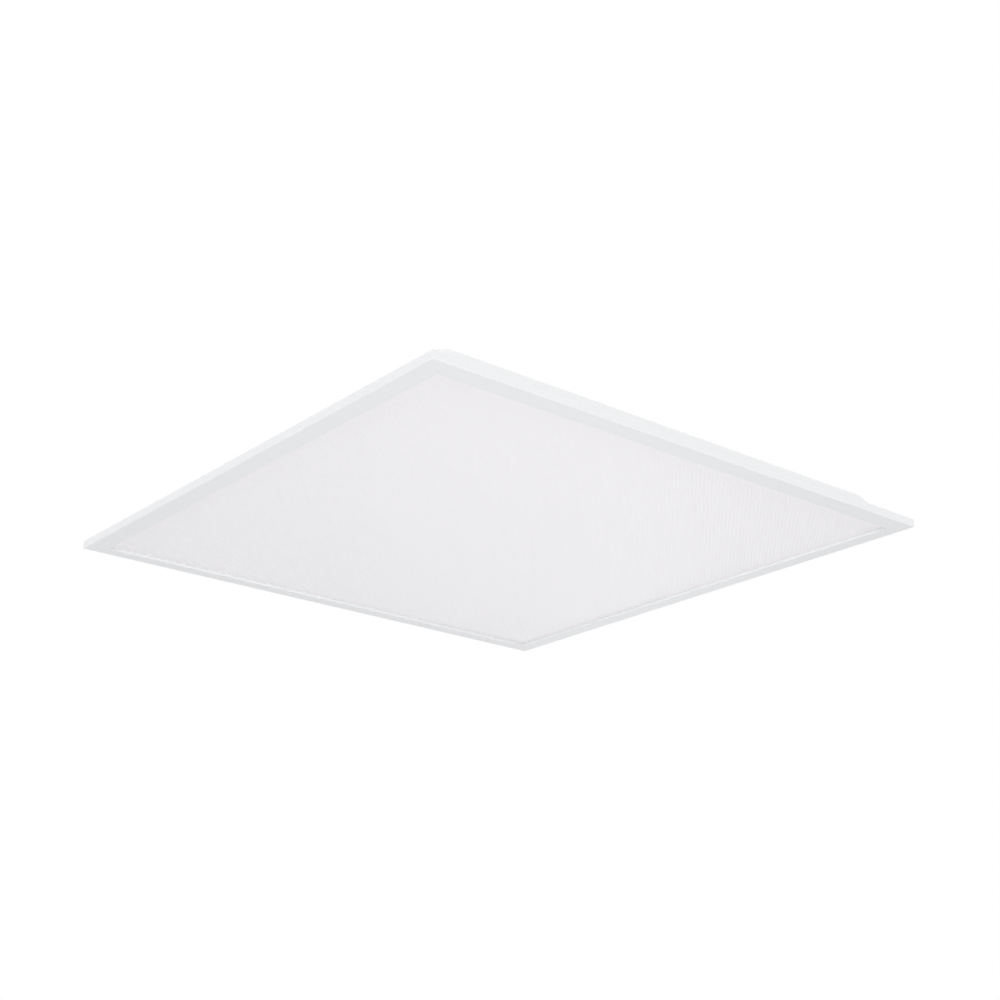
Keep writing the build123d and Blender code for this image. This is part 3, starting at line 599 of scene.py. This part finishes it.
def copies(mesh, places, name):
    """One mesh with a copy of the given one at each place, each turned by its own angle."""
    golden_turn = math.pi * (3 - math.sqrt(5))
    bm = bmesh.new()
    for i, place in enumerate(places):
        one = mesh.copy()
        one.transform(Matrix.Translation(place) @ Matrix.Rotation(i * golden_turn, 4, "Z"))
        bm.from_mesh(one)
        bpy.data.meshes.remove(one)
    joined = bpy.data.meshes.new(name)
    bm.to_mesh(joined)
    bm.free()
    return joined


def shade_smooth_by_angle(piece, degrees):
    """Smooth shading that keeps edges sharper than the angle."""
    piece.data.shade_smooth()
    piece.data.set_sharp_from_angle(angle=math.radians(degrees))


class LED_PANEL_OT_frame(bpy.types.Operator):
    """Paints the rails and plates the corner keys inside them"""

    bl_idname = "led_panel.frame"
    bl_label = "Frame"

    def execute(self, context):
        colours = getattr(context.scene, COLOURS)
        paint(powder_coat(colours.frame), *RAILS)
        paint(zinc_plate(colours.zinc), "corner_keys")
        return {"FINISHED"}


class LED_PANEL_OT_sheets(bpy.types.Operator):
    """Cuts the pyramids of the prismatic plate and gives the sheets their plastics"""

    bl_idname = "led_panel.sheets"
    bl_label = "Prismatic plate and opal sheet"

    def execute(self, context):
        colours = getattr(context.scene, COLOURS)
        sizes = getattr(context.scene, PRISMS)
        low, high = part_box("prism_plate")
        _, rail_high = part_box("frame_rail_front")
        mesh = prism_mesh(low, high, -rail_high.y - sizes.margin, sizes.pitch, sizes.depth)
        acrylic = prismatic_acrylic(colours.plate)
        place_piece("prismatic_plate", mesh, acrylic, "prism_plate", "prism_plate")
        paint(opal_polystyrene(colours.opal), "opal_sheet")
        return {"FINISHED"}


class LED_PANEL_OT_pan(bpy.types.Operator):
    """Paints the pressed back pan"""

    bl_idname = "led_panel.pan"
    bl_label = "Back pan"

    def execute(self, context):
        colours = getattr(context.scene, COLOURS)
        paint(coil_paint(colours.pan), "back_pan")
        return {"FINISHED"}


class LED_PANEL_OT_fasteners(bpy.types.Operator):
    """Makes the screws with their recesses and threads, and the rivet nuts with theirs"""

    bl_idname = "led_panel.fasteners"
    bl_label = "Screws and nuts"

    def execute(self, context):
        sizes = getattr(context.scene, FASTENERS)
        zinc = zinc_plate(getattr(context.scene, COLOURS).zinc)
        for node, (head_height, shank_radius) in DOMED_SCREWS.items():
            boxes = islands(node)
            low, high = boxes[0]
            head_radius = (high.x - low.x) / 2
            length = high.z - low.z - head_height
            mesh = screw_mesh(domed_head(head_radius, head_height), shank_radius, length, sizes)
            self.place(node, mesh, zinc, boxes, high.z - head_height)
        boxes = islands("corner_screws")
        low, high = boxes[0]
        head_radius = (high.x - low.x) / 2
        depth = head_radius - CORNER_SHANK_RADIUS
        length = high.z - low.z - depth
        mesh = screw_mesh(countersunk_head(head_radius, depth), CORNER_SHANK_RADIUS, length, sizes)
        self.place("corner_screws", mesh, zinc, boxes, high.z - depth)
        self.place_nuts(sizes, zinc)
        return {"FINISHED"}

    def place(self, node, mesh, material, boxes, seat):
        """Copies of one screw or nut over a CAD node's solids."""
        spots = [((low.x + high.x) / 2, (low.y + high.y) / 2, seat) for low, high in boxes]
        joined = copies(mesh, [Vector(spot) for spot in spots], "recessed_" + node)
        piece = place_piece("recessed_" + node, joined, material, "zinc_steel", node)
        shade_smooth_by_angle(piece, degrees=35)

    def place_nuts(self, sizes, material):
        """Rivet nuts with a threaded bore, over the CAD node's solids."""
        boxes = islands("suspension_nuts")
        low, high = boxes[0]
        flange_radius = (high.x - low.x) / 2
        bottom = low.z - high.z + sizes.nut_flange
        soft, bulge_side, bulge_slope, bulge_height = 0.2 * MM, 0.6 * MM, 0.1 * MM, 2.0 * MM
        outside = [
            (sizes.nut_bore, sizes.nut_flange, False),
            (flange_radius - soft, sizes.nut_flange, False),
            (flange_radius, sizes.nut_flange - soft, False),
            (flange_radius, 0, False),
            (sizes.nut_body, 0, False),
            (sizes.nut_body, -sizes.nut_grip, False),
            (sizes.nut_bulge, -sizes.nut_grip, False),
            (sizes.nut_bulge - bulge_slope, -sizes.nut_grip - bulge_side, False),
            (sizes.nut_body, -sizes.nut_grip - bulge_height, False),
            (sizes.nut_body, bottom, False),
            (sizes.nut_bore, bottom, False),
        ]
        bore = threaded_run(sizes.nut_bore, bottom + soft, sizes.nut_flange - soft, sizes)
        bm = bmesh.new()
        lathe(bm, [*outside, *bore], sizes, closed=True)
        bmesh.ops.recalc_face_normals(bm, faces=bm.faces)
        mesh = bpy.data.meshes.new("rivet_nut")
        bm.to_mesh(mesh)
        bm.free()
        self.place("suspension_nuts", mesh, material, boxes, high.z - sizes.nut_flange)


class LED_PANEL_OT_light_engine(bpy.types.Operator):
    """Gives strips, LEDs, lenses, film, rivets and low-voltage wiring their materials"""

    bl_idname = "led_panel.light_engine"
    bl_label = "Light engine"

    def execute(self, context):
        colours = getattr(context.scene, COLOURS)
        paint(white_solder_mask(colours.mask), *[f"led_strip_{row}" for row in STRIP_ROWS])
        paint(phosphor_silicone(colours.phosphor), *[f"led_chips_{row}" for row in STRIP_ROWS])
        paint(clear_acrylic(colours.lens), *[f"led_lenses_{row}" for row in STRIP_ROWS])
        paint(foamed_film(colours.film), "reflector_sheet")
        paint(natural_nylon(colours.nylon), "strip_rivets", "strip_connectors", "board_plugs")
        paint(pvc_insulation(colours.lead), "jumper_leads", "feed_leads")
        paint(moulded_rubber(colours.rubber), "feed_grommet", "mains_grommet")
        return {"FINISHED"}


class LED_PANEL_OT_driver(bpy.types.Operator):
    """Gives the driver box, its terminal and its board their materials"""

    bl_idname = "led_panel.driver"
    bl_label = "Driver box"

    def execute(self, context):
        colours = getattr(context.scene, COLOURS)
        low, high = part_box("input_leads")
        paint(spark_grained_plastic(colours.driver), "driver_base", "driver_lid", "terminal_cover")
        paint(polyamide("grey_polyamide", colours.terminal), "terminal_block")
        orange = polyamide("orange_polyamide", colours.button)
        paint(orange, "release_button_line", "release_button_neutral")
        split = (low.x + high.x) / 2
        paint(mains_insulation(colours.line_lead, colours.neutral_lead, split), "input_leads")
        paint(glass_laminate(colours.laminate), "driver_board")
        paint(sintered_ferrite(colours.ferrite), "transformer_core", "choke_core")
        paint(polyester_tape(colours.tape), "transformer_winding", "choke_winding")
        paint(shrink_sleeve(colours.sleeve), "bulk_capacitor")
        paint(potted_case(colours.film_case), "film_capacitor")
        paint(bare_aluminium(colours.aluminium), "heat_sink")
        return {"FINISHED"}


class LED_PANEL_OT_studio(bpy.types.Operator):
    """Sets the camera, the white floor, the sky and the soft lamps"""

    bl_idname = "led_panel.studio"
    bl_label = "Studio"

    def execute(self, context):
        studio = getattr(context.scene, STUDIO)
        context.scene.view_settings.view_transform = "Standard"
        self.set_camera(context.scene, studio)
        self.lay_floor(context.scene, studio)
        self.set_sky(context.scene, studio)
        self.hang_lamps(context.scene, studio)
        return {"FINISHED"}

    def set_camera(self, scene, studio):
        """A camera at the eye, looking at the aim, turned by the roll."""
        camera = bpy.data.objects.new("camera", bpy.data.cameras.new("camera"))
        camera.data.lens = studio.lens
        camera.data.sensor_width = 36.0
        camera.data.clip_end = 100.0
        look = Vector(studio.aim) - Vector(studio.eye)
        turn = look.to_track_quat("-Z", "Y").to_matrix().to_4x4()
        roll = Matrix.Rotation(studio.roll, 4, "Z")
        camera.matrix_world = Matrix.Translation(studio.eye) @ turn @ roll
        scene.collection.objects.link(camera)
        scene.camera = camera

    def lay_floor(self, scene, studio):
        """A matt white floor that turns to plain white far out."""
        half = studio.floor_half
        fade_start, fade_end = 0.25 * half, 0.7 * half
        corners = [(-half, -half, 0), (half, -half, 0), (half, half, 0), (-half, half, 0)]
        mesh = bpy.data.meshes.new("floor")
        mesh.from_pydata(corners, [], [(0, 1, 2, 3)])
        floor = bpy.data.objects.new("floor", mesh)
        floor.location.z = -studio.floor_drop
        scene.collection.objects.link(floor)
        material = bpy.data.materials.new("matt_floor")
        material.use_nodes = True
        tree = material.node_tree
        tree.nodes.clear()
        place = add_node(tree, "ShaderNodeTexCoord")
        away = add_node(
            tree, "ShaderNodeVectorMath", {"operation": "LENGTH"}, {0: place.outputs["Object"]}
        )
        fade = add_node(
            tree, "ShaderNodeMapRange", None,
            {"Value": away.outputs["Value"], "From Min": fade_start, "From Max": fade_end},
        )
        veil = add_node(
            tree, "ShaderNodeMath", {"operation": "MULTIPLY"},
            {0: self.shown_rays(tree), 1: studio.floor_veil},
        )
        share = add_node(
            tree, "ShaderNodeMath", {"operation": "MAXIMUM"},
            {0: fade.outputs["Result"], 1: veil.outputs["Value"]},
        )
        matt = add_node(tree, "ShaderNodeBsdfDiffuse", None, {"Color": (*studio.floor_white, 1)})
        white = add_node(tree, "ShaderNodeEmission", None, {"Strength": 1.0})
        mix = add_node(
            tree, "ShaderNodeMixShader", None,
            {0: share.outputs["Value"], 1: matt.outputs["BSDF"], 2: white.outputs["Emission"]},
        )
        add_node(tree, "ShaderNodeOutputMaterial", None, {"Surface": mix.outputs["Shader"]})
        mesh.materials.append(material)

    def shown_rays(self, tree):
        """One for rays that the eye sees, straight, mirrored or through glass, else nought."""
        path = add_node(tree, "ShaderNodeLightPath")
        seen = add_node(
            tree, "ShaderNodeMath", {"operation": "MAXIMUM"},
            {0: path.outputs["Is Camera Ray"], 1: path.outputs["Is Glossy Ray"]},
        )
        shown = add_node(
            tree, "ShaderNodeMath", {"operation": "MAXIMUM"},
            {0: seen.outputs["Value"], 1: path.outputs["Is Transmission Ray"]},
        )
        return shown.outputs["Value"]

    def set_sky(self, scene, studio):
        """A sky that looks plain white and lights the object at its own strength."""
        world = bpy.data.worlds.new("sky")
        world.use_nodes = True
        scene.world = world
        tree = world.node_tree
        tree.nodes.clear()
        strength = add_node(
            tree, "ShaderNodeMapRange", None,
            {"Value": self.shown_rays(tree), "To Min": studio.sky, "To Max": 1.0},
        )
        back = add_node(
            tree, "ShaderNodeBackground", None,
            {"Color": (1, 1, 1, 1), "Strength": strength.outputs["Result"]},
        )
        add_node(tree, "ShaderNodeOutputWorld", None, {"Surface": back.outputs["Background"]})

    def hang_lamps(self, scene, studio):
        """Soft boxes round the panel, all turned to its middle."""
        sight = (Vector(studio.aim) - Vector(studio.eye)) * Vector((1, 1, 0))
        for name, turn, rise, away, size in SOFT_BOXES:
            data = bpy.data.lights.new(name, "AREA")
            data.shape = "RECTANGLE"
            data.size, data.size_y = size
            data.energy = getattr(studio, name)
            lamp = bpy.data.objects.new(name, data)
            lamp.visible_camera = False
            level = Matrix.Rotation(-math.radians(turn), 3, "Z") @ sight.normalized()
            way = level * math.cos(math.radians(rise)) + Vector((0, 0, math.sin(math.radians(rise))))
            facing = way.to_track_quat("Z", "Y").to_matrix().to_4x4()
            lamp.matrix_world = Matrix.Translation(way * away) @ facing
            scene.collection.objects.link(lamp)


OPERATORS = (
    LED_PANEL_OT_frame,
    LED_PANEL_OT_sheets,
    LED_PANEL_OT_pan,
    LED_PANEL_OT_fasteners,
    LED_PANEL_OT_light_engine,
    LED_PANEL_OT_driver,
    LED_PANEL_OT_studio,
)


class LED_PANEL_PT_sidebar(bpy.types.Panel):
    """Lists the steps that dress the panel"""

    bl_label = "LED panel"
    bl_idname = "LED_PANEL_PT_sidebar"
    bl_space_type = "VIEW_3D"
    bl_region_type = "UI"
    bl_category = "LED panel"

    def draw(self, context):
        for operator in OPERATORS:
            self.layout.operator(operator.bl_idname)


GROUPS = {
    COLOURS: PanelColours,
    PRISMS: PrismSizes,
    FASTENERS: FastenerSizes,
    STUDIO: StudioSettings,
}


def register():
    """Registers the settings, the operators and the sidebar."""
    for name, settings in GROUPS.items():
        bpy.utils.register_class(settings)
        setattr(bpy.types.Scene, name, PointerProperty(type=settings))
    for made in (*OPERATORS, LED_PANEL_PT_sidebar):
        bpy.utils.register_class(made)


def unregister():
    """Takes back what register did."""
    for made in (LED_PANEL_PT_sidebar, *reversed(OPERATORS)):
        bpy.utils.unregister_class(made)
    for name, settings in GROUPS.items():
        delattr(bpy.types.Scene, name)
        bpy.utils.unregister_class(settings)


def main():
    """Dresses the panel."""
    register()
    bpy.ops.led_panel.frame()
    bpy.ops.led_panel.sheets()
    bpy.ops.led_panel.pan()
    bpy.ops.led_panel.fasteners()
    bpy.ops.led_panel.light_engine()
    bpy.ops.led_panel.driver()
    bpy.ops.led_panel.studio()


if __name__ == "__main__":
    main()
